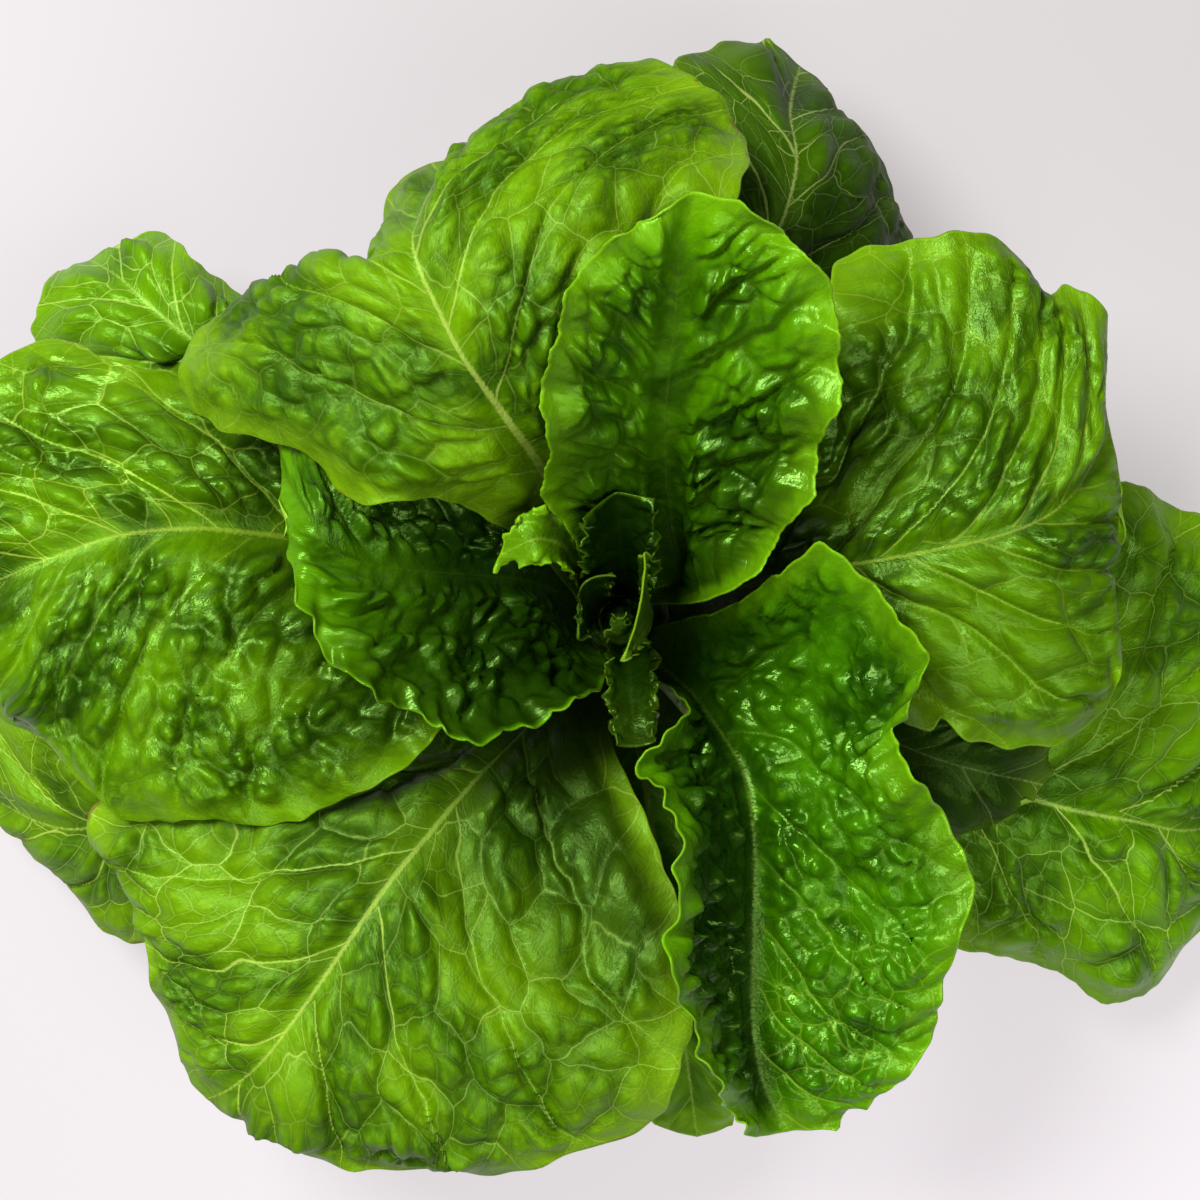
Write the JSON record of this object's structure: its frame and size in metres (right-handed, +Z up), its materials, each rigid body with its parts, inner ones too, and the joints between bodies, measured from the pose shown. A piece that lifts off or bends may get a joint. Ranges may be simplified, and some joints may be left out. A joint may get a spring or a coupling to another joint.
{
  "type": "head of romaine lettuce",
  "caption": "Whole open head of romaine lettuce with broad puckered green leaves round a small heart, standing on the flat cut end of its short pale stem.",
  "frame": {"origin": "centre of the flat cut end of the stem, on the surface that the head stands on", "axes": "+Z up along the stem; +X along the head's longest spread, +Y towards the tallest inner leaf"},
  "size_m": [0.355, 0.2934, 0.1625],
  "materials": {
    "stem": "pale moist cut stem, slightly browned at the cut face",
    "outer_leaf": "dark green, smooth and soft gloss, with a pale yellow-green vein net",
    "middle_leaf": "mid green, puckered and glossy, with yellow-green veins and rims",
    "inner_leaf": "deep green in its middle, puckered and glossy, with light yellow-green margins",
    "heart_leaf": "dark green in its folds with light yellow-green rims, finely crinkled, soft gloss"
  },
  "bodies": {
    "root": {"stem": "stem", "leaf_low_west": "outer_leaf", "leaf_low_south": "inner_leaf", "leaf_low_northwest": "inner_leaf", "leaf_low_north": "outer_leaf", "leaf_low_east": "outer_leaf", "leaf_low_southeast": "middle_leaf", "leaf_east": "middle_leaf", "leaf_southwest": "middle_leaf", "leaf_west": "middle_leaf", "leaf_inner_west": "inner_leaf", "leaf_south": "middle_leaf", "leaf_northwest": "middle_leaf", "leaf_inner_north": "inner_leaf", "heart_north": "heart_leaf", "heart_south": "heart_leaf", "heart_east": "heart_leaf", "heart_west": "heart_leaf", "heart_northwest": "inner_leaf", "heart_core": "heart_leaf"}
  },
  "joints": []
}
